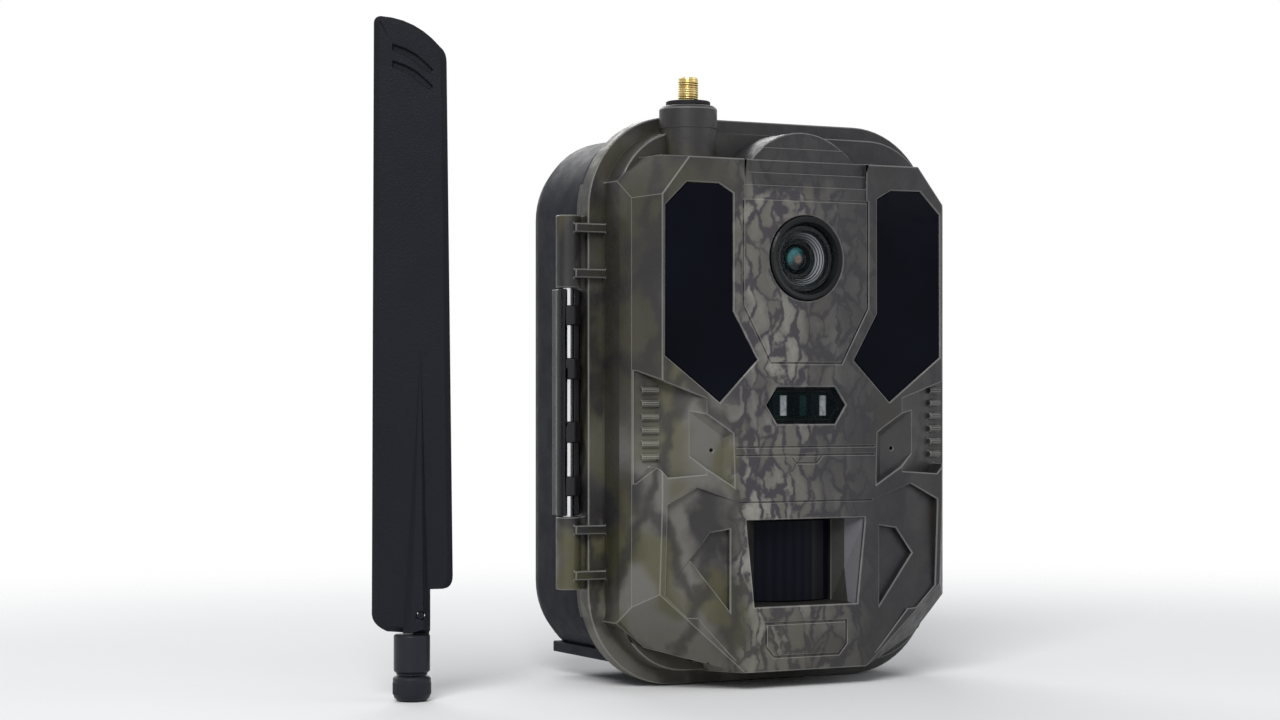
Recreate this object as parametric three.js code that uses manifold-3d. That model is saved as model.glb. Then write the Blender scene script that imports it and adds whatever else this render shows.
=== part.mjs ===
// Trail camera: a two-half weatherproof case hinged on its left edge, with the electronics in the front
// cover, the batteries in the rear case, and the paddle antenna taken off and standing beside it.
// Millimetres. +X to the right of someone facing the camera, +Y away from them, +Z up.
// y = 0 is the parting plane between cover and case, and z = 0 is the surface that it stands on.

import * as THREE from "three";
import { mergeVertices } from "three/addons/utils/BufferGeometryUtils.js";
import { ConvexGeometry } from "three/addons/geometries/ConvexGeometry.js";
import Module from "manifold-3d";

const wasm = await Module();
wasm.setup();

// ---- driving dimensions -------------------------------------------------------------------------

const GAP = 0.3; // clearance between pieces that seat on each other
const cover = { half: 62.7, height: 175.9, corner: 29.5, flange: 6, depth: 31, wall: 2.4 };
const plateau = { rise: 8.5, inset: 4.6, draft: 0.9 };
const mask = { side: 50.5, shoulder: 56.5, shoulderDepth: 8.5, top: 161.6, waist: 57.5, chin: 5.2 };
const lens = { height: 131.8, ring: 12.9, panel: 22.7, panelFoot: 99.2, archFoot: 150, steps: 5, step: 0.5 };
const tower = { x: -32, y: -13.5, radius: 8.95, foot: 8.65, rise: 2.6, collar: 7, wall: 2.4 };
const socket = { thread: 3.175, rise: 8.8, washer: 6.85, washerThick: 1.2 };
const hinge = { x: -68, y: -3, barrel: 3.8, pin: 1.5, low: 53, high: 122, reach: 22.5, swing: 0.35 };
const pane = { thick: 1.3, pocket: 1.9, ledge: 2 };
const pir = { low: 25, high: 51.7, half: 21.8, footHalf: 18.8, throat: 13.9, depth: 8.2, lens: 0.9 };
const rear = { half: 58, depth: 49, wall: 2.4, inset: 4.4, lip: 61.5, lipThick: 4, corner: 25 };
const rail = { x: 30, thick: 5, proud: 7, low: 50, high: 126, slot: 28 };
const foot = {
  half: 22, near: 12, far: 36, ledgeHalf: 50.5, ledgeNear: 3, ledgeFar: 43, ledge: 7, step: 3.3,
};
const tripod = { y: 25, insert: 5.2, bore: 3.1, deep: 10 };
const cell = { radius: 7.1, length: 49, nub: 2.7, nubHeight: 1.2, columns: 4, space: 1 };
const tray = { foot: 28, open: 10.4, wall: 2 };
const panel = { back: -2.6, thick: 2.4 };
const board = { half: 42.3, thick: 1.6, y: -11.2, low: 14, high: 156 };
const button = { radius: 3.2, pitch: 9, x: 0, z: 70, travel: 0.8 };
const card = { height: 24, thick: 2.1, length: 32, x: 6, z: 38 };
const latch = { x: 62.2, y: 9.5, low: 73.4, high: 102.6, barrel: 2.2, pin: 1.1, plate: 2.4, reach: 16.1 };
const jack = { y: 20, z: 34, radius: 4.7, deep: 9, cap: 6.5, capThick: 2 };
const antenna = { x: -120.8, y: -5.8, turn: -24.5, nut: 5.6, nutTop: 7.1, sleeve: 5.35, sleeveTop: 19.4 };
const blade = { left: -11.7, right: 12, top: 201, thick: 6.6, seam: 0.3, pivotX: 2.7, pivotZ: 25.2 };

const FRONT = -cover.depth; // y of the mask's front face
const SIDES = [-1, 1];
const towerTop = cover.height + tower.rise;
const towerRoot = towerTop - 28.5;
const towerRoof = towerTop - 5.5; // ceiling of the hollow inside the tower

// ---- finishes -----------------------------------------------------------------------------------

function finish(color, roughness, metalness = 0) {
  return new THREE.MeshStandardMaterial({ color, roughness, metalness });
}

const camouflage = finish(0x6b6b5e, 0.7);
const charcoal = finish(0x33353c, 0.6);
const black = finish(0x1c1c20, 0.55);
const darkGlass = finish(0x0a0c14, 0.08);
const clearGlass = finish(0x9fb4b8, 0.05);
const steel = finish(0xd8d8d4, 0.25, 1);
const gold = finish(0xc9963f, 0.3, 1);
const circuit = finish(0x1f5a3a, 0.5);
const rubber = finish(0x202022, 0.9);
const cream = finish(0xd9d6c4, 0.6);
const jacket = finish(0x3a6b46, 0.4);

// ---- solids -------------------------------------------------------------------------------------

function volume(corners, index) {
  const a = new THREE.Vector3();
  const b = new THREE.Vector3();
  const c = new THREE.Vector3();
  let sum = 0;
  for (let i = 0; i < index.length; i += 3) {
    a.fromArray(corners, index[i] * 3);
    b.fromArray(corners, index[i + 1] * 3);
    c.fromArray(corners, index[i + 2] * 3);
    sum += a.dot(b.cross(c));
  }
  return sum / 6;
}

function solid(geometry) {
  const bare = new THREE.BufferGeometry();
  bare.setAttribute("position", geometry.getAttribute("position"));
  bare.setIndex(geometry.getIndex());
  const welded = mergeVertices(bare, 1e-4);
  const corners = new Float32Array(welded.getAttribute("position").array);
  const old = welded.getIndex().array;
  const index = [];
  for (let i = 0; i < old.length; i += 3) {
    const [a, b, c] = [old[i], old[i + 1], old[i + 2]];
    if (a !== b && b !== c && c !== a) index.push(a, b, c);
  }
  if (volume(corners, index) < 0) index.reverse();
  const mesh = new wasm.Mesh({ numProp: 3, vertProperties: corners, triVerts: new Uint32Array(index) });
  return new wasm.Manifold(mesh);
}

const join = (first, ...rest) => rest.reduce((sum, next) => sum.add(next), first);
const cut = (first, ...rest) => rest.reduce((sum, next) => sum.subtract(next), first);

function box(x0, x1, y0, y1, z0, z1) {
  const geometry = new THREE.BoxGeometry(x1 - x0, y1 - y0, z1 - z0);
  return solid(geometry.translate((x0 + x1) / 2, (y0 + y1) / 2, (z0 + z1) / 2));
}

// A round bar from one point to another, with a second radius for its far end.
function rod(from, to, radius, sides = 16, endRadius = radius) {
  const start = new THREE.Vector3(...from);
  const end = new THREE.Vector3(...to);
  const along = end.clone().sub(start);
  const geometry = new THREE.CylinderGeometry(endRadius, radius, along.length(), sides);
  const turn = new THREE.Quaternion().setFromUnitVectors(new THREE.Vector3(0, 1, 0), along.normalize());
  geometry.applyQuaternion(turn);
  return solid(geometry.translate(...start.add(end).multiplyScalar(0.5).toArray()));
}

// A profile of [radius, distance] turned about the Y axis; its first and last points are on the axis or meet.
function turned(profile, sides = 32) {
  return new THREE.LatheGeometry(profile.map(([r, d]) => new THREE.Vector2(r, d)), sides);
}

const turnedY = (profile, x, z, sides) => solid(turned(profile, sides).translate(x, 0, z));
const turnedZ = (profile, x, y, sides) =>
  solid(turned(profile, sides).rotateX(Math.PI / 2).translate(x, y, 0));

function outline(points) {
  return new THREE.Shape(points.map(([a, b]) => new THREE.Vector2(a, b)));
}

function roundedOutline(half, low, high, radius) {
  const shape = new THREE.Shape();
  const corners = [[half, high, 0], [-half, high, 1], [-half, low, 2], [half, low, 3]];
  for (const [x, z, quarter] of corners) {
    const start = (quarter * Math.PI) / 2;
    const upwards = Math.sign(z - low - 1);
    shape.absarc(x - Math.sign(x) * radius, z - upwards * radius, radius, start, start + Math.PI / 2);
  }
  return shape;
}

// A front-view outline (X, Z) given thickness along Y.
function plate(shape, y0, y1, curveSegments = 8) {
  const settings = { depth: y1 - y0, bevelEnabled: false, curveSegments };
  return solid(new THREE.ExtrudeGeometry(shape, settings).rotateX(Math.PI / 2).translate(0, y1, 0));
}

const slab = (points, y0, y1) => plate(outline(points), y0, y1);

// A plan-view outline (X, Y) given height along Z.
function prism(points, z0, z1) {
  const settings = { depth: z1 - z0, bevelEnabled: false };
  return solid(new THREE.ExtrudeGeometry(outline(points), settings).translate(0, 0, z0));
}

function hull(points) {
  return solid(new ConvexGeometry(points.map((p) => new THREE.Vector3(...p))));
}

// The corner points of a rounded rectangle in a plane of constant y, for a hull.
function ring(half, low, high, radius, y) {
  const points = roundedOutline(half, low, high, radius).getPoints(8);
  return points.map((p) => [p.x, y, p.y]);
}

const flip = (points, side) => points.map(([x, ...rest]) => [x * side, ...rest]);
const both = (points) => SIDES.flatMap((side) => flip(points, side));
const at = (points, y) => points.map(([x, z]) => [x, y, z]);

// The outline moved inwards by a distance: each corner is where the two moved edges meet.
function inset(points, distance) {
  const turnSign = THREE.ShapeUtils.isClockWise(outline(points).getPoints()) ? -1 : 1;
  return points.map(([x, z], i) => {
    const [px, pz] = points[(i + points.length - 1) % points.length];
    const [nx, nz] = points[(i + 1) % points.length];
    const before = new THREE.Vector2(x - px, z - pz).normalize();
    const after = new THREE.Vector2(nx - x, nz - z).normalize();
    const normal = new THREE.Vector2(-before.y - after.y, before.x + after.x).multiplyScalar(turnSign);
    const scale = distance / (1 + before.dot(after));
    return [x + normal.x * scale, z + normal.y * scale];
  });
}

// A closed groove that follows an outline on the mask's front face.
function groove(points, width, depth) {
  const inner = slab(inset(points, width), FRONT - 2, FRONT + depth + 1);
  return cut(slab(points, FRONT - 1, FRONT + depth), inner);
}

function part(name, shape, material) {
  const { vertProperties, triVerts } = shape.getMesh();
  const geometry = new THREE.BufferGeometry();
  geometry.setAttribute("position", new THREE.BufferAttribute(vertProperties, 3));
  geometry.setIndex(new THREE.BufferAttribute(triVerts, 1));
  geometry.computeVertexNormals();
  const mesh = new THREE.Mesh(geometry, material);
  mesh.name = name;
  return mesh;
}

// ---- outlines shared by pieces that fit each other ----------------------------------------------

const plateauFront = -cover.flange - plateau.rise;
const innerHalf = cover.half - 7.5;
const innerLow = 6.8;
const innerHigh = cover.height - 6.9;
const innerCorner = cover.corner - 5.5;
const innerFront = plateauFront + 2.7;

const irPane = [
  [26, 150.9], [26, 115.1], [17.4, 100.5], [30.6, 87.5],
  [mask.side - 1, 101.6], [mask.side - 1.1, 146.7], [mask.side - 8.5, 153.8], [31.1, 153.7],
];
const sensorPane = [[14.3, 86.7], [10.4, 92.2], [-10.4, 92.2], [-14.3, 86.7], [-10.4, 80.8], [10.4, 80.8]];
const lensPanel = [
  [lens.panel, lens.archFoot], [lens.panel, 116.7], [12.9, lens.panelFoot],
  [-12.9, lens.panelFoot], [-lens.panel, 116.7], [-lens.panel, lens.archFoot],
];
const chinPanel = [
  [mask.side - 1.9, 29.5], [mask.side - 1.9, mask.waist - 0.7], [38.3, mask.waist + 4.4],
  [24, mask.waist - 0.4], [24, 12], [21.7, mask.chin + 0.3], [37.8, 22.6], [41.3, 22.8],
];
const namePlate = [[14.8, 20.2], [14.8, 12.6], [11.9, 9.3], [-11.9, 9.3], [-14.8, 12.6], [-14.8, 20.2]];
const scoop = [[27, 49], [33.5, 48], [40, 40], [27, 24.2]];
const louvre = [
  [cover.half, 98], [mask.shoulder - 0.9, 97], [49.6, 93.6], [35.2, 88.6], [35.2, 65.9], [48.5, 65],
  [51.5, 68.2], [mask.shoulder - 0.9, 63.2], [cover.half, 62],
];
const bayFloor = [[41, 85.5], [28.3, 76.8], [28.3, 64.4], [41, 72]];
const bayMouth = [[41.6, 86.3], [36, 85], [25.3, 78.4], [24.8, 61], [41.6, 71]];

// ---- front cover --------------------------------------------------------------------------------

function maskBody() {
  const shoulderY = FRONT + mask.shoulderDepth;
  const front = [
    [mask.side - 9.3, mask.top], [mask.side, mask.top - 11.7], [mask.side, mask.waist], [21.7, mask.chin],
  ];
  const rim = [[mask.side + 0.1, FRONT + 1.5, 30], [41, FRONT + 3, 22]];
  const shoulder = [[46, 162.4], [54.6, 152.6], [mask.shoulder, 149], [mask.shoulder, 26]];
  const jaw = [[48.7, FRONT + 14.5, 12.9], [44.3, FRONT + 13, 12.6], [33, FRONT + 9, 13]];
  const back = [[44, 163.2], [49.5, 162], [57.4, 154.6], [57.6, 20.5], [47.6, 12.7], [30, 12.2]];
  const points = [
    ...at(front, FRONT), ...rim, ...at(shoulder, shoulderY), ...jaw,
    ...at(back, plateauFront), ...at(back, -cover.flange + 1),
  ];
  return hull(both(points));
}

function chinBody() {
  const front = [[21.7, FRONT, mask.chin], [38, FRONT + 2, 22.8], [38, FRONT + 2, 50], [20, FRONT, 50]];
  const back = [[26.6, 4.6], [30.1, 12.2], [38, 24], [38, 50]];
  return hull(both([...front, ...at(back, plateauFront), ...at(back, -cover.flange + 1)]));
}

// The lens panel runs on above the mask as an arch, like a small visor.
function lensArch() {
  const shape = new THREE.Shape();
  const centre = lens.archFoot - 2;
  shape.moveTo(-lens.panel, centre - 20);
  shape.lineTo(lens.panel, centre - 20);
  shape.lineTo(lens.panel, centre);
  shape.absarc(0, centre, lens.panel, 0, Math.PI);
  return plate(shape, FRONT, -cover.flange + 1, 12);
}

function visorSteps() {
  const steps = [];
  for (let i = 0; i < lens.steps; i += 1) {
    const low = lens.archFoot + i * 3.9;
    const half = lens.panel - 0.7 + (i > 2 ? 4 : 0);
    steps.push(box(-half, half, FRONT - 1, FRONT + (i + 1) * lens.step, low, low + 40));
  }
  return steps;
}

function plateauBody() {
  const half = cover.half - plateau.inset;
  const low = plateau.inset - 0.4;
  const high = cover.height - plateau.inset + 0.4;
  const corner = cover.corner - plateau.inset - 0.2;
  const d = plateau.draft;
  return hull([
    ...ring(half, low, high, corner, -cover.flange + 1),
    ...ring(half - d, low + d, high - d, corner - d, plateauFront),
  ]);
}

function towerBody() {
  const { x, y, radius, foot: footRadius, collar } = tower;
  const split = towerTop - collar;
  return turnedZ([
    [0, towerRoot], [footRadius, towerRoot], [footRadius, split], [radius, split],
    [radius, towerTop - 1], [radius - 1, towerTop], [0, towerTop],
  ], x, y, 32);
}

function coverHinge() {
  const pieces = [];
  const spans = [
    [hinge.high + hinge.swing, hinge.high + hinge.reach],
    [hinge.low - hinge.reach, hinge.low - hinge.swing],
  ];
  for (const [low, high] of spans) {
    pieces.push(rod([hinge.x, hinge.y, low], [hinge.x, hinge.y, high], hinge.barrel, 20));
    pieces.push(box(hinge.x + 1, -cover.half + 1, hinge.y - 1, hinge.y + 1.5, low, high));
    for (const z of [low + 4.4, high - 3.9]) {
      pieces.push(box(hinge.x, -cover.half + 5.2, hinge.y - 5.2, hinge.y, z - 1.4, z + 1.4));
    }
  }
  return pieces;
}

function coverCavities() {
  const upper = [[38.5, 158.5], [mask.side - 2.9, 147.8], [mask.side - 2.9, 98], [0, 98]];
  const upperOutline = [...upper, ...flip(upper, -1).reverse().slice(1)];
  const wide = [[54, 152], [54, 24], [46, 15], [30, 14.5]];
  return [
    slab(upperOutline, FRONT + 2.8, 1),
    box(-32, 32, FRONT + 5.2, 1, 8, 100),
    slab([...wide, ...flip(wide, -1).reverse()], FRONT + 11.2, 1),
    plate(roundedOutline(innerHalf, innerLow, innerHigh, innerCorner), innerFront, 1),
    rod([tower.x, tower.y, towerRoot], [tower.x, tower.y, towerRoof], tower.foot - tower.wall, 24),
    box(tower.x - 5.5, tower.x + 5.5, tower.y, 1, towerRoot, towerRoof - 5),
  ];
}

const screwSpots = both([[46, 30]]).concat(both([[44.5, 156.5]]));

function coverPosts() {
  const front = [FRONT + 9, innerFront - 2];
  return screwSpots.map(([x, z]) => {
    const start = z < 90 ? front[0] : front[1];
    return rod([x, start, z], [x, panel.back - panel.thick - GAP, z], 3.4, 12);
  });
}

function motionFunnel() {
  const mouth = [[pir.half, pir.high], [pir.footHalf, pir.low]];
  const throat = [[pir.throat, pir.high - 0.7], [pir.throat, pir.low + 0.8]];
  return join(
    hull(both([...at(mouth, FRONT - 0.3), ...at(throat, FRONT + pir.depth)])),
    box(-pir.throat, pir.throat, FRONT + pir.depth - 1, FRONT + 14, pir.low + 0.8, pir.high - 0.7),
  );
}

function maskCuts(side) {
  const pocket = flip(irPane, side);
  const chinWedge = [
    [24, FRONT], [mask.side - 1.9, FRONT + 2.5], [62, FRONT + 2.5], [62, FRONT - 3], [24, FRONT - 3],
  ];
  const scoopWedge = [[26, FRONT + 2.2], [41, FRONT + 3.7], [41, FRONT - 3], [26, FRONT - 3]];
  const louvreWedge = [
    [35.2, FRONT], [49.5, FRONT + 6], [mask.shoulder - 1.1, FRONT + 8], [cover.half, FRONT + 8.6],
    [cover.half, FRONT - 3], [35.2, FRONT - 3],
  ];
  return [
    slab(pocket, FRONT - 1, FRONT + pane.pocket),
    slab(inset(pocket, pane.ledge), FRONT, FRONT + 6),
    slab(flip(chinPanel, side), FRONT - 2, FRONT + 6).intersect(prism(flip(chinWedge, side), 0, 70)),
    slab(flip(scoop, side), FRONT - 2, FRONT + 6).intersect(prism(flip(scoopWedge, side), 0, 70)),
    slab(flip(louvre, side), FRONT - 2, FRONT + 8.6).intersect(prism(flip(louvreWedge, side), 50, 110)),
    hull([...at(flip(bayFloor, side), FRONT + 2.1), ...at(flip(bayMouth, side), FRONT - 0.5)]),
    rod([side * 32.5, FRONT, 73], [side * 32.5, FRONT + 7, 73], 0.7, 8),
  ];
}

function louvreRibs(side) {
  const ribs = [];
  for (let i = 0; i < 6; i += 1) {
    const z = 91.2 - i * 4.05;
    ribs.push(rod([side * 48.8, FRONT + 5.4, z], [side * 53.9, FRONT + 7.1, z], 1.15, 10));
  }
  return ribs;
}

function centreGrooves() {
  const tab = [[6.5, 71.5], [3.8, 68.6], [-3.8, 68.6], [-6.5, 71.5]];
  return [
    groove(lensPanel, 0.6, 0.6),
    groove(namePlate, 0.7, 0.6),
    groove(tab, 0.6, 0.5),
    box(-25, 25, FRONT - 1, FRONT + 0.5, 73.6, 74.1),
    box(-25, 25, FRONT - 1, FRONT + 0.5, 71.1, 71.6),
    box(-24, 24, FRONT - 1, FRONT + 0.5, mask.waist - 0.7, mask.waist - 0.2),
  ];
}

function frontCover() {
  const flange = plate(roundedOutline(cover.half, 0, cover.height, cover.corner), -cover.flange, 0);
  const arch = cut(lensArch(), ...visorSteps());
  const skin = join(flange, plateauBody(), cut(maskBody(), ...visorSteps()), chinBody(), arch, towerBody());
  const shell = cut(skin, ...coverCavities());
  const funnelWall = box(-24.5, 24.5, FRONT + 1, FRONT + 11.5, 22.5, 54.2);
  const whole = join(shell, funnelWall, ...coverPosts(), ...coverHinge());
  const opened = cut(
    whole,
    ...SIDES.flatMap(maskCuts),
    ...centreGrooves(),
    motionFunnel(),
    slab(sensorPane, FRONT - 1, FRONT + pane.pocket),
    slab(inset(sensorPane, 1.5), FRONT, FRONT + 8),
    rod([0, FRONT - 1, lens.height], [0, FRONT + 8, lens.height], lens.ring + GAP, 40),
    rod([tower.x, tower.y, towerRoof - 3], [tower.x, tower.y, towerTop + 1], socket.thread + GAP, 20),
    rod([hinge.x, hinge.y, 20], [hinge.x, hinge.y, 150], hinge.pin + GAP, 12),
    ...screwSpots.map(([x, z]) => rod([x, -10, z], [x, 0, z], 1.6, 8)),
  );
  return part("front_cover", join(opened, ...SIDES.flatMap(louvreRibs)), camouflage);
}

// ---- windows, lens and sensors in the front cover -----------------------------------------------

function irWindow(name, side) {
  const points = inset(flip(irPane, side), GAP);
  return part(name, slab(points, FRONT + 0.3, FRONT + 0.3 + pane.thick), darkGlass);
}

function irBoard(name, side) {
  const y = FRONT + 6.5;
  const edge = mask.side - 2.9 - GAP;
  const sheet = slab(flip([[20, 101], [edge, 101], [edge, 146], [40, 152], [20, 152]], side), y, y + 1.4);
  const lights = [];
  for (let row = 0; row < 5; row += 1) {
    for (let column = 0; column < 2; column += 1) {
      const x = side * (33 + column * 9);
      const z = 108 + row * 9;
      lights.push(rod([x, y + 0.5, z], [x, FRONT + 3, z], 2.3, 8, 1.5));
    }
  }
  return part(name, join(sheet, ...lights), circuit);
}

function lensRing() {
  const r = lens.ring;
  const profile = [
    [r - 2.5, FRONT + 1], [r - 1.6, FRONT - 0.6], [r - 0.5, FRONT - 0.8], [r, FRONT - 0.3],
    [r, FRONT + 5], [r - 2.5, FRONT + 5], [r - 2.5, FRONT + 1],
  ];
  return part("lens_ring", turnedY(profile, 0, lens.height, 48), black);
}

function lensGlass() {
  const radius = lens.ring - 2.9;
  const profile = [[0, FRONT + 0.4], [radius, FRONT + 0.4], [radius, FRONT + 1.3], [0, FRONT + 1.3]];
  return part("lens_glass", turnedY(profile, 0, lens.height, 32), clearGlass);
}

function lensBarrel() {
  const outer = lens.ring - 2.8;
  const profile = [
    [0, FRONT + 8], [4.9, FRONT + 8], [4.9, FRONT + 5.6], [6.2, FRONT + 5.3],
    [6.6, FRONT + 3.6], [8.4, FRONT + 3.2],
    [9, FRONT + 1.6], [outer, FRONT + 1.6], [outer, FRONT + 10], [8, FRONT + 10.4],
    [8, board.y - GAP], [0, board.y - GAP],
  ];
  return part("lens_barrel", turnedY(profile, 0, lens.height, 32), black);
}

function lensElement() {
  const profile = [
    [0, FRONT + 4.9], [1.9, FRONT + 5.1], [3.5, FRONT + 5.8],
    [4.5, FRONT + 7], [4.5, FRONT + 7.7], [0, FRONT + 7.7],
  ];
  return part("lens_element", turnedY(profile, 0, lens.height, 32), clearGlass);
}

function sensorGroup() {
  const window = slab(inset(sensorPane, GAP), FRONT + 0.3, FRONT + 0.3 + pane.thick);
  const front = FRONT + 2.1;
  const deck = FRONT + 6;
  const light = (x) => box(x - 1.45, x + 1.45, front, deck - GAP, 83.4, 89.6);
  return [
    part("sensor_window", window, darkGlass),
    part("status_light_left", light(-7.1), clearGlass),
    part("light_sensor", light(0), darkGlass),
    part("status_light_right", light(7.1), clearGlass),
    part("sensor_board", box(-14, 14, deck, deck + 1.2, 79, 94), circuit),
  ];
}

function motionGroup() {
  const radius = 30;
  const half = pir.throat - 0.4;
  const apex = FRONT + pir.depth - 2;
  const reach = Math.asin(half / radius);
  const arc = (r) => Array.from({ length: 11 }, (_, i) => {
    const angle = -reach + (2 * reach * i) / 10;
    return [r * Math.sin(angle), apex + radius - r * Math.cos(angle)];
  });
  const sheet = prism([...arc(radius), ...arc(radius - pir.lens).reverse()], pir.low + 1.1, pir.high - 1);
  const z = (pir.low + pir.high) / 2;
  const can = rod([0, -18, z], [0, board.y - GAP, z], 4.6, 20);
  return [part("motion_lens", sheet, darkGlass), part("motion_sensor", can, steel)];
}

function microphone() {
  const start = FRONT + mask.shoulderDepth - 1.4;
  const shape = rod([-29, start, 73], [-29, board.y - GAP, 73], 2.6, 12);
  return part("microphone", shape, black);
}

// ---- inner panel and electronics ----------------------------------------------------------------

const panelFront = panel.back - panel.thick;
const boardBack = board.y + board.thick;
const keys = [
  ["button_up", 0, 1], ["button_down", 0, -1], ["button_left", -1, 0], ["button_right", 1, 0],
  ["button_ok", 0, 0],
];
const keySpot = ([, column, row]) => [button.x + column * button.pitch, button.z + row * button.pitch];
const display = { half: 26, low: 94, high: 134, rim: 3 };
const knob = { x: 28, half: 2.5, travel: 3 };

function mainBoard() {
  const { half, low, high } = board;
  const corner = 12;
  const points = [
    [half - corner, low], [half, low + corner], [half, high - corner], [half - corner, high],
    [-half + corner, high], [-half, high - corner], [-half, low + corner], [-half + corner, low],
  ];
  const holes = screwSpots.map(([x, z]) => rod([x, board.y - 1, z], [x, boardBack + 1, z], 3.4 + GAP, 12));
  return part("main_board", cut(slab(points, board.y, boardBack), ...holes), circuit);
}

function innerPanel() {
  const shape = roundedOutline(innerHalf - GAP, innerLow + GAP, innerHigh - GAP, innerCorner - GAP);
  const holes = keys.map((key) => {
    const [x, z] = keySpot(key);
    return rod([x, panelFront - 1, z], [x, panel.back + 1, z], button.radius + GAP, 20);
  });
  const y0 = panelFront - 1;
  const y1 = panel.back + 1;
  const slotHalf = knob.half + knob.travel + GAP;
  const viewHalf = display.half - display.rim;
  const windows = [
    box(-viewHalf, viewHalf, y0, y1, display.low + display.rim, display.high - display.rim),
    box(knob.x - slotHalf, knob.x + slotHalf, y0, y1, button.z - 2.3, button.z + 2.3),
    box(card.x - card.length - 3, card.x + card.length + 3, y0, y1, card.z - 14, card.z + 14),
    ...screwSpots.map(([x, z]) => rod([x, y0, z], [x, y1, z], 1.6, 8)),
  ];
  return part("inner_panel", cut(plate(shape, panelFront, panel.back), ...holes, ...windows), black);
}

function displayModule() {
  const { half, low, high } = display;
  const shape = box(-half, half, boardBack + GAP, panelFront - GAP, low, high);
  return part("display", shape, darkGlass);
}

function keypad() {
  return keys.map((key) => {
    const [x, z] = keySpot(key);
    const flangeFront = boardBack + GAP + button.travel;
    const cap = rod([x, flangeFront, z], [x, panel.back + 0.7, z], button.radius, 20);
    const skirt = rod([x, flangeFront, z], [x, panelFront - GAP, z], button.radius + 0.8, 20);
    return part(key[0], join(cap, skirt), rubber);
  });
}

function powerSwitch() {
  const { x, half } = knob;
  const base = box(x - 5, x + 5, boardBack + GAP, panelFront - GAP, button.z - 3, button.z + 3);
  const tip = box(x - half, x + half, panelFront - 1, panel.back + 1.2, button.z - 2, button.z + 2);
  return part("power_switch", join(base, tip), cream);
}

function cardGroup() {
  const y = boardBack + GAP;
  const sheet = 0.5;
  const shellEnd = card.x + card.length;
  const low = card.z - card.height / 2;
  const high = card.z + card.height / 2;
  const cardY = y + sheet + GAP;
  const shell = box(card.x + 4, shellEnd, y, cardY + card.thick + GAP + sheet, low - 1, high + 1);
  const space = box(card.x, shellEnd - 0.8, y + sheet, cardY + card.thick + GAP, low - GAP, high + GAP);
  const end = shellEnd - 0.8 - GAP;
  const start = end - card.length;
  const corner = 4;
  const points = [[start, low], [end, low], [end, high - corner], [end - corner, high], [start, high]];
  return [
    part("card_slot", cut(shell, space), steel),
    part("sd_card", slab(points, cardY, cardY + card.thick), black),
  ];
}

function panelScrews() {
  return screwSpots.map(([x, z], i) => {
    const head = rod([x, panel.back + GAP, z], [x, panel.back + GAP + 1.4, z], 2.8, 12, 2.2);
    const shank = rod([x, -9, z], [x, panel.back + 1, z], 1.3, 8);
    const across = box(x - 1.8, x + 1.8, panel.back + GAP + 0.7, 1, z - 0.35, z + 0.35);
    const down = box(x - 0.35, x + 0.35, panel.back + GAP + 0.7, 1, z - 1.8, z + 1.8);
    return part(`panel_screw_${i + 1}`, cut(join(head, shank), across, down), steel);
  });
}

// ---- antenna socket -----------------------------------------------------------------------------

function socketGroup() {
  const r = socket.thread;
  const washerLow = towerTop + GAP;
  const top = towerTop + socket.rise;
  const flange = towerRoof - GAP;
  const washerTop = washerLow + socket.washerThick;
  const body = [
    [0, flange - 9.7], [2.2, flange - 9.7], [2.2, flange - 2.7], [4.6, flange - 2.7], [4.6, flange],
    [r, flange], [r, top - 0.4], [r - 0.4, top], [2.2, top], [2.2, top - 6], [0.6, top - 6],
    [0.5, top - 2], [0, top - 2],
  ];
  const ringProfile = [
    [r + GAP, washerLow], [socket.washer, washerLow], [socket.washer, washerTop - 0.3],
    [socket.washer - 0.3, washerTop], [r + GAP, washerTop], [r + GAP, washerLow],
  ];
  return [
    part("antenna_socket", turnedZ(body, tower.x, tower.y, 24), gold),
    part("socket_washer", turnedZ(ringProfile, tower.x, tower.y, 32), rubber),
  ];
}

// ---- rear case ----------------------------------------------------------------------------------

const rearFront = GAP;
const rearLow = rear.inset;
const rearHigh = cover.height - rear.inset;
const sealMiddle = rear.half + 0.4;

// The seal's middle line, moved outwards by a distance.
const sealOutline = (out) =>
  roundedOutline(sealMiddle + out, rearLow - 0.4 - out, rearHigh + 0.4 + out, rear.corner - 0.7 + out);

function rearHull(shrink) {
  const { half, depth, corner } = rear;
  const s = shrink;
  const layer = (inwards, y) => {
    const off = inwards + s;
    return ring(half - off, rearLow + off, rearHigh - off, corner - inwards / 2 - s, y);
  };
  const start = s > 0 ? -1 : rearFront;
  const fillet = [[0, 11], [1.5, 5.5], [4, 2], [9, 0]];
  return hull([...layer(0, start), ...fillet.flatMap(([inwards, back]) => layer(inwards, depth - back - s))]);
}

function caseKnuckle() {
  const barrel = rod([hinge.x, hinge.y, hinge.low], [hinge.x, hinge.y, hinge.high], hinge.barrel, 20);
  const web = box(hinge.x - 2, -rear.half, rearFront + 0.2, rearFront + rear.lipThick, hinge.low, hinge.high);
  const windows = [[117, 123], [101, 111], [81.7, 94.5], [65, 75.2], [52, 59]].map(([low, high]) => {
    return box(hinge.x - 2.2, hinge.x + 5, hinge.y - 5, hinge.y - 0.4, low, high);
  });
  return cut(join(barrel, web), ...windows);
}

function strapRails() {
  return SIDES.map((side) => {
    const x = side * rail.x;
    const y0 = rear.depth - 2;
    const y1 = rear.depth + rail.proud;
    const bar = box(x - rail.thick / 2, x + rail.thick / 2, y0, y1, rail.low, rail.high);
    const low = (rail.low + rail.high - rail.slot) / 2;
    const slot = box(x - rail.thick, x + rail.thick, rear.depth, y1 - 2.4, low, low + rail.slot);
    return cut(bar, slot);
  });
}

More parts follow.
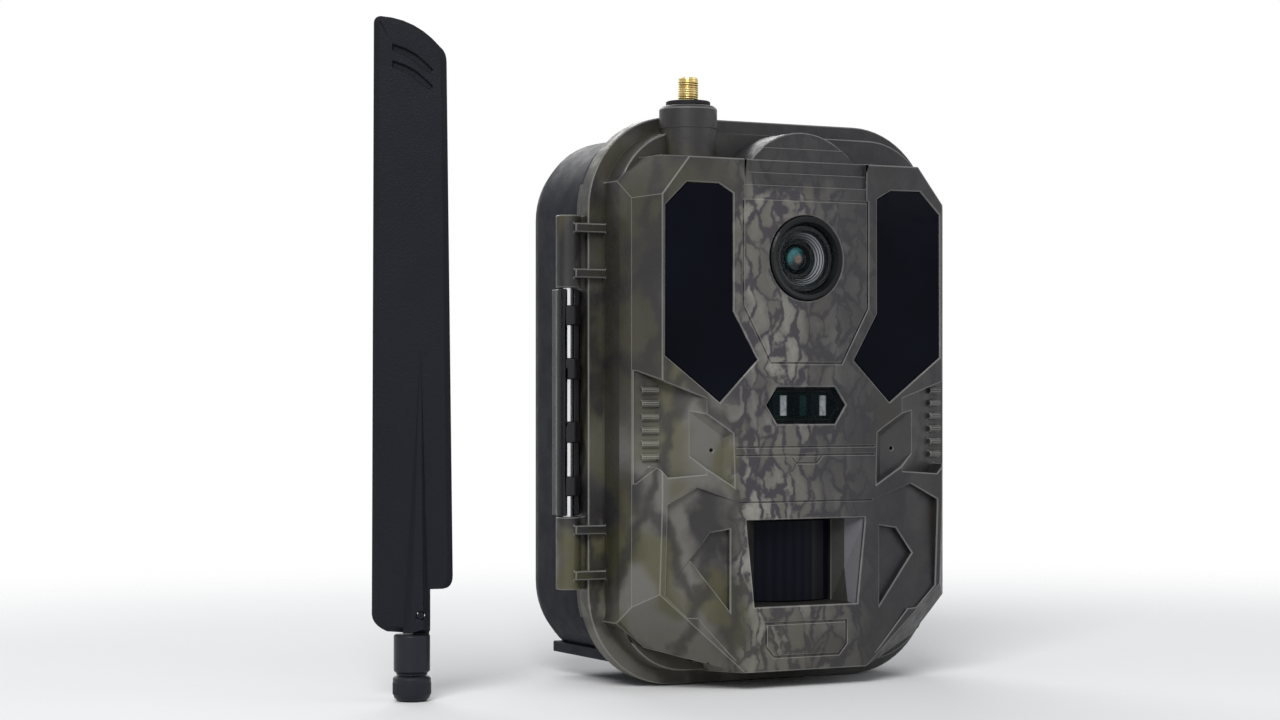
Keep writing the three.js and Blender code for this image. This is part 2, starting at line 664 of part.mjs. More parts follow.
function latchEars() {
  return [[latch.low - 3.3, latch.low - GAP], [latch.high + GAP, latch.high + 3.3]].map(([low, high]) => {
    return box(rear.half - 1, latch.x + latch.barrel + 0.6, latch.y - 3.2, latch.y + 3.2, low, high);
  });
}

function rearCase() {
  const lipOutline = roundedOutline(rear.lip, 1.2, cover.height - 1.2, cover.corner - 1.2);
  const lip = plate(lipOutline, rearFront, rearFront + rear.lipThick);
  const { ledgeHalf, ledgeNear, ledgeFar } = foot;
  const ledge = box(-ledgeHalf, ledgeHalf, ledgeNear, ledgeFar, foot.ledge, foot.ledge + foot.step);
  const plinth = box(-foot.half, foot.half, foot.near, foot.far, 0, 6);
  const skin = join(rearHull(0), lip, ledge, plinth, caseKnuckle(), ...strapRails(), ...latchEars());
  const sealSpace = cut(
    plate(sealOutline(1.1), -1, rearFront + 2),
    plate(sealOutline(-1.1), -2, rearFront + 3),
  );
  const boss = rod([0, tripod.y, 5], [0, tripod.y, tripod.deep + 4], tripod.insert + 3, 20);
  const lugs = [-1, 1].map((side) => {
    const y = jack.y + side * 4.5;
    const top = jack.z + jack.cap;
    return box(rear.half - 1, rear.half + 3, y - 1.2, y + 1.2, top + 0.4, top + 3.4);
  });
  const shape = cut(
    join(cut(skin, rearHull(rear.wall)), boss, ...lugs),
    sealSpace,
    rod([hinge.x, hinge.y, hinge.low - 1], [hinge.x, hinge.y, hinge.high + 1], hinge.pin + GAP, 12),
    rod([latch.x, latch.y, latch.low - 2.4], [latch.x, latch.y, latch.high + 5], latch.pin + GAP, 12),
    rod([0, tripod.y, -1], [0, tripod.y, tripod.deep + 2], tripod.insert + GAP, 20),
    rod([rear.half - 5, jack.y, jack.z], [rear.half + 2, jack.y, jack.z], jack.radius + GAP, 20),
  );
  return part("rear_case", shape, charcoal);
}

function caseSeal() {
  const shape = cut(
    plate(sealOutline(0.8), GAP, rearFront + 1.7),
    plate(sealOutline(-0.8), -1, rearFront + 3),
  );
  return part("case_seal", shape, rubber);
}

function hingePin() {
  const low = hinge.low - hinge.reach + GAP;
  const high = hinge.high + hinge.reach - GAP;
  return part("hinge_pin", rod([hinge.x, hinge.y, low], [hinge.x, hinge.y, high], hinge.pin, 20), steel);
}

function tripodInsert() {
  const { bore, insert, deep } = tripod;
  const profile = [[bore, GAP], [insert, GAP], [insert, deep], [bore, deep], [bore, GAP]];
  return part("tripod_insert", turnedZ(profile, 0, tripod.y, 24), gold);
}

function jackGroup() {
  const { y, z, radius, deep, cap, capThick } = jack;
  const end = rear.half - GAP;
  const hole = rod([end - deep + 1.5, y, z], [end + 1, y, z], 3, 16);
  const sleeve = cut(rod([end - deep, y, z], [end, y, z], radius, 20), hole);
  const contact = rod([end - deep + 1, y, z], [end - 1.5, y, z], 1, 10);
  const disc = rod([rear.half + GAP, y, z], [rear.half + GAP + capThick, y, z], cap, 24);
  const top = z + cap;
  const tab = box(rear.half + GAP, rear.half + GAP + capThick, y - 3, y + 3, top - 3, top + 2.5);
  return [
    part("power_jack", join(sleeve, contact), black),
    part("jack_cap", join(disc, tab), rubber),
  ];
}

function latchGroup() {
  const { x, y, low, high, barrel, pin, plate: thick, reach } = latch;
  const inner = cover.half + GAP;
  const roll = rod([x, y, low], [x, y, high], barrel, 20);
  const lever = prism([[x, y - barrel], [inner, y - barrel - 2], [inner, y - reach], [inner + 1.6, y - reach],
    [inner + thick, y - reach + 3], [inner + thick, y], [x, y + barrel]], low, high);
  const bore = rod([x, y, low - 1], [x, y, high + 1], pin + GAP, 12);
  return [
    part("latch_lever", cut(join(roll, lever), bore), black),
    part("latch_pin", rod([x, y, low - 2.1], [x, y, high + 3.3], pin, 12), steel),
  ];
}

// ---- batteries ----------------------------------------------------------------------------------

const stack = 2 * (cell.length + cell.nubHeight) + 0.8;
const trayTop = tray.foot + stack + 2 * tray.wall + 4;
const pitch = 2 * cell.radius + cell.space;
const trayHalf = (cell.columns * pitch) / 2 + tray.wall;
const trayBack = rear.depth - rear.wall - GAP;
const cellY = trayBack - tray.wall - GAP - cell.radius;
const trayFront = cellY - tray.open;

function batteryTray() {
  const shell = box(-trayHalf, trayHalf, trayFront, trayBack, tray.foot, trayTop);
  const pocketBack = cellY + cell.radius + GAP;
  const low = tray.foot + tray.wall;
  const high = trayTop - tray.wall;
  const channels = [];
  for (let i = 0; i < cell.columns; i += 1) {
    const x = (i - (cell.columns - 1) / 2) * pitch;
    const half = pitch / 2 - 0.15;
    channels.push(box(x - half, x + half, cellY - 2, pocketBack, low, high));
  }
  const inside = trayHalf - tray.wall;
  const mouth = box(-inside, inside, trayFront - 1, cellY - 1, low, high);
  return part("battery_tray", cut(shell, mouth, ...channels), black);
}

function cells() {
  const base = tray.foot + tray.wall + 2;
  const span = cell.length + cell.nubHeight;
  const step = span + 0.4;
  const sizes = [
    [0, 0], [cell.radius, 0], [cell.radius, cell.length], [cell.nub, cell.length],
    [cell.nub, span], [0, span],
  ];
  const pieces = [];
  for (let column = 0; column < cell.columns; column += 1) {
    for (let level = 0; level < 2; level += 1) {
      const x = (column - (cell.columns - 1) / 2) * pitch;
      const up = column % 2 === 0;
      const low = base + level * step;
      const profile = sizes.map(([r, d]) => [r, up ? low + d : low + span - d]);
      pieces.push(part(`aa_cell_${column * 2 + level + 1}`, turnedZ(profile, x, cellY, 16), jacket));
    }
  }
  return pieces;
}

function contactPlates() {
  const half = trayHalf - tray.wall - GAP;
  const base = tray.foot + tray.wall;
  const ceiling = trayTop - tray.wall;
  const plates = [["contact_bottom", base + GAP, 1], ["contact_top", ceiling - GAP, -1]];
  return plates.map(([name, z, up]) => {
    const low = Math.min(z, z + up * 0.5);
    const sheet = box(-half, half, trayFront + 2, cellY - 2 - GAP, low, low + 0.5);
    const tongues = [];
    for (let i = 0; i < cell.columns; i += 1) {
      const x = (i - (cell.columns - 1) / 2) * pitch;
      tongues.push(box(x - 4, x + 4, trayFront + 3, cellY + 4, low, low + 0.5));
      tongues.push(rod([x, cellY, z + up * 0.1], [x, cellY, z + up * 1.4], 3.4, 10, 2));
    }
    return part(name, join(sheet, ...tongues), steel);
  });
}

// ---- antenna, standing beside the camera --------------------------------------------------------

const pivot = [blade.pivotX, blade.pivotZ];
const tongue = { half: 1.5, radius: 2.4, sweep: 7.4 };

function antennaNut() {
  const r = antenna.nut;
  const top = antenna.nutTop;
  const bore = socket.thread + 0.15;
  const profile = [
    [bore, 0], [r - 1.2, 0], [r - 0.4, 0.8], [r, 2], [r, top - 0.6], [r - 0.6, top],
    [1.9, top], [1.9, top - 1.8], [bore, top - 1.8], [bore, 0],
  ];
  return part("antenna_nut", turnedZ(profile, 0, 0, 36), black);
}

function antennaSleeve() {
  const r = antenna.sleeve;
  const low = antenna.nutTop + GAP;
  const top = antenna.sleeveTop;
  const body = turnedZ([
    [0, low], [r - 0.8, low], [r - 0.8, low + 0.5], [r, low + 1.3], [r, top - 0.4], [r - 0.4, top], [0, top],
  ], 0, 0, 36);
  const [x, z] = pivot;
  const ear = join(
    box(x - tongue.radius, x + tongue.radius, -tongue.half, tongue.half, top - 1, z),
    rod([x, -tongue.half, z], [x, tongue.half, z], tongue.radius, 24),
  );
  const bore = rod([x, -5, z], [x, 5, z], 1 + GAP, 12);
  return part("antenna_sleeve", cut(join(body, ear), bore), black);
}

function antennaContact() {
  const low = antenna.nutTop - 4.5;
  const shape = rod([0, 0, low], [0, 0, antenna.nutTop], 0.7, 10, 0.7);
  return part("antenna_contact", shape, gold);
}

function bladeOutline() {
  const { left, right, top } = blade;
  const [px, pz] = pivot;
  const shape = new THREE.Shape();
  const low = antenna.sleeveTop + GAP;
  const hub = pz - low;
  const edge = antenna.sleeve;
  shape.moveTo(-edge, low);
  shape.absarc(px, pz, hub, -Math.PI / 2, -Math.asin(Math.sqrt(hub * hub - (edge - px) ** 2) / hub));
  shape.lineTo(edge, 32.8);
  shape.lineTo(right - 2.6, 32.9);
  shape.quadraticCurveTo(right, 33.2, right, 36.5);
  shape.lineTo(right - 1.8, top - 13);
  shape.quadraticCurveTo(right - 1.9, top - 10.4, right - 3.6, top - 9);
  shape.quadraticCurveTo(left + 13, top - 0.6, left + 2.6, top);
  shape.quadraticCurveTo(left + 0.6, top - 0.2, left + 0.6, top - 2.2);
  shape.lineTo(left, 25.4);
  shape.quadraticCurveTo(left + 0.2, 21.6, -edge, low);
  return shape;
}

// Each shell runs from the seam out to its own face, which is chamfered all round.
function bladeShell(name, side) {
  const seam = (side * blade.seam) / 2;
  const outer = (side * blade.thick) / 2;
  const rim = bladeOutline().getPoints(6).map((p) => [p.x, p.y]).slice(0, -1);
  const chamfered = hull([...at(rim, seam), ...at(rim, outer - side * 1.4), ...at(inset(rim, 1.6), outer)]);
  const whole = slab(rim, Math.min(seam, outer), Math.max(seam, outer)).intersect(chamfered);
  const [px, pz] = pivot;
  const bulge = side * 2.1;
  const rib = hull([
    [-2.6, seam, 19.9], [5.1, seam, 21.5], [-2.6, outer, 19.9], [5.1, outer, 21.5], [0, outer + bulge, 20.1],
    [3.6, outer + bulge, 21.1], [2.7, outer + bulge * 0.8, 34], [2.7, outer, 101], [2.7, seam, 101],
  ]);
  const reach = tongue.half + GAP;
  const round = tongue.radius + GAP;
  const sweep = rod([px, -reach, pz], [px, reach, pz], tongue.sweep, 24);
  const room = join(
    rod([px, -reach, pz], [px, reach, pz], round, 24),
    sweep.intersect(box(px - round, px + tongue.sweep, -reach, reach, pz - tongue.sweep, pz + round)),
  );
  const element = box(-5.5, 6.5, -0.85, 0.85, 39.2, 180.6);
  const slots = [0, 4.9].map((drop) => slab([[-5.5, 192.6 - drop], [-2, 191.4 - drop], [1.2, 189.7 - drop],
    [4, 187.3 - drop], [6.2, 185.2 - drop], [5.2, 183.9 - drop], [3, 185.6 - drop], [0.4, 187.9 - drop],
    [-2.6, 189.7 - drop], [-5.7, 190.9 - drop]], outer - 1.2, outer + 1.2));
  const pinHole = rod([px, -8, pz], [px, 8, pz], 1 + GAP, 12);
  const shape = cut(join(whole, rib), room, element, pinHole, ...slots);
  return part(name, shape, black);
}

function antennaGroup() {
  const [px, pz] = pivot;
  const reach = blade.thick / 2 + 1.6;
  const group = new THREE.Group();
  group.position.set(antenna.x, antenna.y, 0);
  group.rotation.z = THREE.MathUtils.degToRad(antenna.turn);
  group.add(
    antennaNut(),
    antennaSleeve(),
    antennaContact(),
    bladeShell("antenna_front_shell", -1),
    bladeShell("antenna_back_shell", 1),
    part("antenna_element", box(-5.2, 6.2, -0.55, 0.55, 39.5, 180.3), circuit),
    part("antenna_pin", rod([px, -reach, pz], [px, reach, pz], 1, 16), steel),
  );
  return group;
}

// ---- assembly -----------------------------------------------------------------------------------

function coverGroup() {
  const group = new THREE.Group();
  group.add(
    frontCover(),
    irWindow("ir_window_left", -1),
    irWindow("ir_window_right", 1),
    irBoard("ir_board_left", -1),
    irBoard("ir_board_right", 1),
    lensRing(),
    lensGlass(),
    lensBarrel(),
    lensElement(),
    ...sensorGroup(),
    ...motionGroup(),
    microphone(),
    mainBoard(),
    innerPanel(),
    displayModule(),
    ...keypad(),
    powerSwitch(),
    ...cardGroup(),
    ...panelScrews(),
    ...socketGroup(),
  );
  return group;
}

function caseGroup() {
  const group = new THREE.Group();
  group.add(
    rearCase(),
    caseSeal(),
    hingePin(),
    tripodInsert(),
    ...jackGroup(),
    ...latchGroup(),
    batteryTray(),
    ...cells(),
    ...contactPlates(),
  );
  return group;
}

const group = new THREE.Group();
group.add(coverGroup(), caseGroup(), antennaGroup());

export default group;
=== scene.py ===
# %% [markdown]
# # A trail camera, surface by surface
# A trail camera is a weatherproof box that is strapped to a tree. Its front cover is printed with a
# bark pattern, its rear case is plain dark plastic, and a paddle antenna screws on top. The solids
# come from a packed mechanical model, so every size and place is already settled. This lesson gives
# those solids rounded edges, fine details and finishes that look right from near and far.

import math

import bmesh
import bpy
from mathutils import Matrix, Vector


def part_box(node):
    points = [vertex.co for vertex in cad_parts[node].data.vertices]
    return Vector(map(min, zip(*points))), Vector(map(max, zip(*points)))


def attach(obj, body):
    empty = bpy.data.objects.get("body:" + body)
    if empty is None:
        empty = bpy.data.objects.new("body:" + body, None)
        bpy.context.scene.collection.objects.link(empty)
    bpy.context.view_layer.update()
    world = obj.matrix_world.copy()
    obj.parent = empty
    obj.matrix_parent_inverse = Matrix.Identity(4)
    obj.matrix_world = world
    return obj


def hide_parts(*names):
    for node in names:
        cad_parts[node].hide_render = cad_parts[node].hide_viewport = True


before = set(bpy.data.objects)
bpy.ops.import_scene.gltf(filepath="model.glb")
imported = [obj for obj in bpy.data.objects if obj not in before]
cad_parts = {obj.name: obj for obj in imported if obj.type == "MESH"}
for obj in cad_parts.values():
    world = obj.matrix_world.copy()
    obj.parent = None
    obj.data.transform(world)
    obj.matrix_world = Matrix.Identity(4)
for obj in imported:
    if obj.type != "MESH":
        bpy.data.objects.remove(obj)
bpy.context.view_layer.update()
MM = 0.001

# %% [markdown]
# The camera stands slightly to the left of the trail camera and level with its middle, as a product
# photographer would put it. A long lens keeps the box's edges nearly parallel.

# %% The viewpoint
YAW = math.radians(28.133)
eye = bpy.data.cameras.new("eye")
eye.lens = 73.125
eye.sensor_width = 36
eye.shift_y = 0.0267
eye.clip_start = 0.01
eye_object = bpy.data.objects.new("eye", eye)
eye_object.location = (-0.42243, -0.71231, 0.0900)
eye_object.rotation_euler = (math.pi / 2, 0, -YAW)
bpy.context.scene.collection.objects.link(eye_object)
bpy.context.scene.camera = eye_object
print("camera is", round(eye_object.location.length, 3), "m from the origin")

# %% [markdown]
# ## Light
# Plastic shows its shape by soft highlights, so the lamps are large. The key lamp is high on the
# left, a weaker one fills from the right, and a plain world lights what they miss. Their strengths
# add up so that a grey facing them renders about as grey as it is written.

# %% Lamps and world


def add_lamp(name, place, target, size, power):
    lamp = bpy.data.lights.new(name, "AREA")
    lamp.shape = "RECTANGLE"
    lamp.size, lamp.size_y = size
    lamp.energy = power
    holder = bpy.data.objects.new(name, lamp)
    holder.location = place
    holder.rotation_euler = (Vector(target) - Vector(place)).to_track_quat("-Z", "Y").to_euler()
    bpy.context.scene.collection.objects.link(holder)
    return holder


MIDDLE = (-0.03, 0, 0.09)
add_lamp("key_lamp", (-0.95, -1.15, 1.15), MIDDLE, (0.8, 0.8), 23)
add_lamp("fill_lamp", (1.3, -1.1, 0.7), MIDDLE, (1.2, 0.9), 3)
add_lamp("back_lamp", (0.3, 1.4, 1.0), MIDDLE, (1.2, 0.8), 12)

world = bpy.data.worlds.new("studio")
bpy.context.scene.world = world
world.use_nodes = True
room = world.node_tree
room.nodes.clear()


def seen_directly(tree):
    """A value of 1 for rays that show a background: seen, mirrored or through glass."""
    path = tree.nodes.new("ShaderNodeLightPath")
    first = tree.nodes.new("ShaderNodeMath")
    first.operation = "MAXIMUM"
    second = tree.nodes.new("ShaderNodeMath")
    second.operation = "MAXIMUM"
    tree.links.new(path.outputs["Is Camera Ray"], first.inputs[0])
    tree.links.new(path.outputs["Is Glossy Ray"], first.inputs[1])
    tree.links.new(first.outputs[0], second.inputs[0])
    tree.links.new(path.outputs["Is Transmission Ray"], second.inputs[1])
    return second.outputs[0]


ambient = room.nodes.new("ShaderNodeBackground")
ambient.inputs["Color"].default_value = (0.93, 0.95, 1.0, 1)
ambient.inputs["Strength"].default_value = 0.34
paper = room.nodes.new("ShaderNodeBackground")
paper.inputs["Color"].default_value = (1, 1, 1, 1)
choice = room.nodes.new("ShaderNodeMixShader")
room_out = room.nodes.new("ShaderNodeOutputWorld")
room.links.new(seen_directly(room), choice.inputs[0])
room.links.new(ambient.outputs[0], choice.inputs[1])
room.links.new(paper.outputs[0], choice.inputs[2])
room.links.new(choice.outputs[0], room_out.inputs["Surface"])
bpy.context.scene.view_settings.view_transform = "Standard"

# %% [markdown]
# ## Writing a finish
# Each finish is a small network of shader nodes. The helpers keep the networks short: one adds a
# node with its values, one turns the 0 to 255 numbers that a paint chart gives into the linear
# light that a shader works in, and one starts a material with its main shader.

# %% Helpers for materials


def rgb(red, green, blue):
    """Chart values from 0 to 255 as linear light."""
    linear = [((v / 255 + 0.055) / 1.055) ** 2.4 if v > 10 else v / 255 / 12.92 for v in (red, green, blue)]
    return (*linear, 1)


class Finish:
    """A material under construction."""

    def __init__(self, name, color, roughness, **shader_values):
        self.material = bpy.data.materials.new(name)
        self.material.use_nodes = True
        self.tree = self.material.node_tree
        self.shader = self.tree.nodes["Principled BSDF"]
        self.shader.inputs["Base Color"].default_value = color
        self.shader.inputs["Roughness"].default_value = roughness
        for label, value in shader_values.items():
            self.shader.inputs[label.replace("_", " ")].default_value = value
        self.place = self.add("ShaderNodeTexCoord").outputs["Object"]

    def add(self, kind, links=None, **values):
        node = self.tree.nodes.new(kind)
        for label, value in values.items():
            if hasattr(node, label):
                setattr(node, label, value)
            else:
                node.inputs[label.replace("_", " ")].default_value = value
        for label, source in (links or {}).items():
            self.tree.links.new(source, node.inputs[label])
        return node

    def noise(self, scale, detail=3, roughness=0.55, place=None, distortion=0.0):
        node = self.add("ShaderNodeTexNoise", {"Vector": place or self.place}, Scale=scale, Detail=detail)
        node.inputs["Roughness"].default_value = roughness
        node.inputs["Distortion"].default_value = distortion
        return node.outputs["Fac"]

    def stretched(self, scale, place=None):
        node = self.add("ShaderNodeMapping", {"Vector": place or self.place})
        node.inputs["Scale"].default_value = scale
        return node.outputs[0]

    def ramp(self, source, low, high, from_value=0.0, to_value=1.0):
        node = self.add("ShaderNodeMapRange", {"Value": source}, interpolation_type="SMOOTHSTEP")
        node.inputs["From Min"].default_value = low
        node.inputs["From Max"].default_value = high
        node.inputs["To Min"].default_value = from_value
        node.inputs["To Max"].default_value = to_value
        return node.outputs[0]

    def math(self, operation, first, second):
        node = self.add("ShaderNodeMath", operation=operation)
        for socket, value in zip(node.inputs, (first, second)):
            if isinstance(value, (int, float)):
                socket.default_value = value
            else:
                self.tree.links.new(value, socket)
        return node.outputs[0]

    def blend(self, amount, first, second, mode="MIX"):
        node = self.add("ShaderNodeMix", data_type="RGBA", blend_type=mode)
        for index, value in ((0, amount), (6, first), (7, second)):
            if isinstance(value, (int, float, tuple)):
                node.inputs[index].default_value = value
            else:
                self.tree.links.new(value, node.inputs[index])
        return node.outputs[2]

    def pushed(self, place, scale, reach):
        """The place moved about by noise, so that nothing printed on it is straight."""
        sway = self.add("ShaderNodeTexNoise", {"Vector": place}, Scale=scale, Detail=3.0)
        centred = self.add("ShaderNodeVectorMath", {0: sway.outputs["Color"]}, operation="SUBTRACT")
        centred.inputs[1].default_value = (0.5, 0.5, 0.5)
        swing = self.add("ShaderNodeVectorMath", {0: centred.outputs[0]}, operation="SCALE")
        swing.inputs["Scale"].default_value = reach
        return self.add("ShaderNodeVectorMath", {0: place, 1: swing.outputs[0]}, operation="ADD").outputs[0]

    def cells(self, place, scale, feature):
        return self.add("ShaderNodeTexVoronoi", {"Vector": place}, feature=feature, Scale=scale)

    def axes(self, place=None):
        return self.add("ShaderNodeSeparateXYZ", {"Vector": place or self.place}).outputs

    def within(self, source, low, high):
        """1 between two values and 0 outside them."""
        above = self.math("GREATER_THAN", source, low)
        return self.math("MULTIPLY", above, self.math("LESS_THAN", source, high))

    def bump(self, height, distance, strength=1.0):
        node = self.add("ShaderNodeBump", {"Height": height}, Distance=distance, Strength=strength)
        self.tree.links.new(node.outputs[0], self.shader.inputs["Normal"])

    def feed(self, label, source):
        self.tree.links.new(source, self.shader.inputs[label])


# %% [markdown]
# ## Moulded plastic
# Moulded plastic is never quite even. Spark erosion leaves the mould with a grain, so the part has
# tiny bumps, and handling polishes some patches. One function makes all the plastics here: a colour
# that drifts slightly, a roughness that drifts more, and a fine grain as bump.

# %% Plastics, rubber and glass


def moulded(name, color, roughness, grain=900, depth=0.02, drift=0.18, **shader_values):
    finish = Finish(name, color, roughness, **shader_values)
    cloud = finish.noise(22, 3)
    darker = tuple(v * (1 - drift) for v in color[:3]) + (1,)
    lighter = tuple(min(1, v * (1 + drift)) for v in color[:3]) + (1,)
    finish.feed("Base Color", finish.blend(finish.ramp(cloud, 0.3, 0.7), darker, lighter))
    finish.feed("Roughness", finish.ramp(finish.noise(160, 4), 0.3, 0.7, roughness - 0.06, roughness + 0.06))
    finish.bump(finish.noise(grain * 1.0, 2), depth * MM)
    return finish.material


case_plastic = moulded("charcoal_case_plastic", rgb(27, 28, 36), 0.52, grain=2200, depth=0.035, Specular_IOR_Level=0.07)
hinge_plastic = moulded("black_hinge_plastic", rgb(15, 15, 20), 0.3, grain=1500, Specular_IOR_Level=0.35)
antenna_plastic = moulded("antenna_plastic", rgb(25, 26, 32), 0.46, grain=2300, depth=0.14, drift=0.1,
                          Specular_IOR_Level=0.1)
fitting_plastic = moulded("antenna_fitting_plastic", rgb(30, 31, 38), 0.4, grain=2300, depth=0.05, drift=0.1,
                          Specular_IOR_Level=0.2)
socket_plastic = moulded("black_lens_plastic", rgb(12, 15, 18), 0.3, grain=1800, depth=0.01, Specular_IOR_Level=0.2)
tray_plastic = moulded("tray_plastic", rgb(34, 34, 38), 0.5, grain=1600, Specular_IOR_Level=0.35)
rubber = moulded("moulded_rubber", rgb(26, 26, 29), 0.78, grain=1200, depth=0.03, Specular_IOR_Level=0.3)
cream = moulded("switch_plastic", rgb(205, 202, 186), 0.45)
window_gloss = moulded("dark_window", rgb(11, 13, 21), 0.08, grain=60, depth=0.003, drift=0.25,
                       Specular_IOR_Level=0.03)
screen_gloss = moulded("screen_glass", rgb(22, 24, 30), 0.06, grain=40, depth=0.001, drift=0.1)
board_green = moulded("board_lacquer", rgb(24, 74, 52), 0.35, grain=400)
print("plastics ready:", len(bpy.data.materials))

# %% [markdown]
# ## Metals and glass
# The hinge pin and the screws are bright steel with fine drawing marks along them. The antenna
# socket is gold plated. The lens glass is thin and coated; its faint green and violet are painted reflections.

# %% Metals and glass


def drawn_metal(name, color, roughness, along=(1, 1, 0.05)):
    finish = Finish(name, color, roughness, Metallic=1.0)
    marks = finish.noise(2500, 2, place=finish.stretched(along))
    finish.feed("Roughness", finish.ramp(marks, 0.3, 0.7, roughness - 0.07, roughness + 0.09))
    finish.feed("Base Color", finish.blend(finish.ramp(marks, 0.3, 0.8), color, tuple(v * 0.86 for v in color[:3]) + (1,)))
    finish.bump(marks, 0.004 * MM)
    return finish.material


steel = drawn_metal("bright_steel", rgb(226, 227, 230), 0.2)
gold = drawn_metal("gold_plate", rgb(212, 190, 128), 0.2)
plate_steel = drawn_metal("plated_sheet", rgb(186, 188, 190), 0.32, along=(0.1, 1, 1))


def clear_pane(name, tint, cover, mirror):
    """A coated pane: mostly see-through, with its own tint over what lies behind it."""
    finish = Finish(name, tint, 0.03, Alpha=cover, Specular_IOR_Level=mirror)
    slightly = tuple(0.8 * v for v in tint[:3]) + (1,)
    finish.feed("Base Color", finish.blend(finish.ramp(finish.noise(40, 1), 0.3, 0.7), tint, slightly))
    return finish.material


def distance_from(finish, centre):
    """How far a point lies from a line along Y through the centre."""
    x, _, z = finish.axes()
    across = finish.math("SUBTRACT", x, centre.x)
    up = finish.math("SUBTRACT", z, centre.z)
    squares = finish.math("ADD", finish.math("MULTIPLY", across, across), finish.math("MULTIPLY", up, up))
    return finish.math("SQRT", squares, 0.0), across, up


def glass_with_painted_glints(centre):
    """The front element: nearly black, with a painted cyan reflection and a small painted violet one off its middle."""
    finish = Finish("lens_glass_painted_glints", rgb(14, 20, 26), 0.04, Specular_IOR_Level=0.4)
    far, across, up = distance_from(finish, centre)
    tilt = finish.math("SUBTRACT", up, across)
    # Painted reflection: a cyan patch towards one side and a pale glint at the middle.
    cyan = finish.math("MULTIPLY", finish.ramp(tilt, -0.001, 0.0042), finish.ramp(far, 0.0042, 0.0026))
    color = finish.blend(cyan, rgb(14, 18, 24), rgb(58, 138, 142))
    heart = finish.ramp(far, 0.0016, 0.0009)
    color = finish.blend(heart, color, rgb(126, 104, 92))
    fine = finish.ramp(finish.noise(900, 2), 0.4, 0.6, 0.0, 0.25)
    finish.feed("Base Color", finish.blend(fine, color, rgb(10, 14, 22)))
    return finish.material


def barrel_finish(centre):
    """Black plastic with one satin grey ring, its own colour, painted lighter on the right and darker on the left."""
    finish = Finish("lens_barrel_rings", rgb(14, 17, 20), 0.32, Specular_IOR_Level=0.25)
    far, across, _ = distance_from(finish, centre)
    ring = finish.within(far, 0.0062, 0.0083)
    # Painted light and shade: the grey ring turns lighter towards the right and darker towards the left.
    painted_light_across = finish.ramp(across, -0.006, 0.008)
    grey = finish.blend(painted_light_across, rgb(58, 68, 74), rgb(178, 182, 188))
    black = finish.blend(finish.ramp(finish.noise(300, 2), 0.3, 0.7), rgb(12, 16, 19), rgb(18, 22, 26))
    finish.feed("Base Color", finish.blend(ring, black, grey))
    return finish.material


ring_low, ring_high = (Vector(corner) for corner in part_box("lens_ring"))
lens_centre = Vector(((ring_low.x + ring_high.x) / 2, 0, (ring_low.z + ring_high.z) / 2))
element_glass = glass_with_painted_glints(lens_centre)
barrel_plastic = barrel_finish(lens_centre)
cover_glass = clear_pane("clear_cover_glass", rgb(20, 30, 34), 0.08, 0.3)
smoky_glass = clear_pane("smoky_sensor_glass", rgb(6, 14, 18), 0.62, 0.05)
print("metals and glass ready:", len(bpy.data.materials))

# %% [markdown]
# ## The bark pattern
# The cover is dipped in a printed film. Down its middle runs a trunk: upright plates of grey-green
# bark with violet-grey cracks between them. The sides are softer, out-of-focus olive and charcoal
# patches. Cells stretched upright make the plates, because the distance to a cell's edge is exactly
# the depth of a crack. Noise bends the cells first, so no two plates look ruled.

# %% Bark plates


def bark_plates(finish, bent):
    """The trunk's colour, and how deep in a crack each point is."""
    upright = finish.stretched((1, 0.6, 0.44), finish.pushed(bent, 500, 0.0016))
    edge = finish.cells(upright, 205.0, "DISTANCE_TO_EDGE").outputs["Distance"]
    tone = finish.cells(upright, 205.0, "F1").outputs["Color"]
    ragged = finish.ramp(finish.noise(210, 3), 0.25, 0.75, -0.11, 0.05)
    crack = finish.ramp(finish.math("ADD", edge, ragged), 0.0, 0.11, 1.0, 0.0)
    shade = finish.add("ShaderNodeSeparateColor", {"Color": tone}).outputs[0]
    plate = finish.blend(finish.ramp(shade, 0.1, 0.9), rgb(98, 96, 89), rgb(136, 135, 128))
    plate = finish.blend(finish.ramp(edge, 0.04, 0.3, 0.5, 0.0), plate, rgb(84, 82, 78))
    fibre = finish.ramp(finish.noise(900, 5, 0.7, finish.stretched((1, 1, 0.25), bent)), 0.35, 0.7, 0.0, 0.4)
    plate = finish.blend(fibre, plate, rgb(84, 82, 72))
    bark = finish.blend(crack, plate, rgb(50, 47, 53))
    shadow = finish.noise(34, 3, 0.6, finish.stretched((1.4, 1, 0.22), bent))
    return finish.blend(finish.ramp(shadow, 0.46, 0.66, 0.0, 0.7), bark, rgb(46, 44, 47)), crack


# %% [markdown]
# Beside the trunk the print shows the wood behind it, out of focus: olive and charcoal patches with
# dark twigs. Each level of the cover has its own pair of tones; the darker pair on the set-back ground
# between flange and mask is painted shade under the mask.

# %% Blurred woodland
GROUND = (-0.0162, -0.0075)


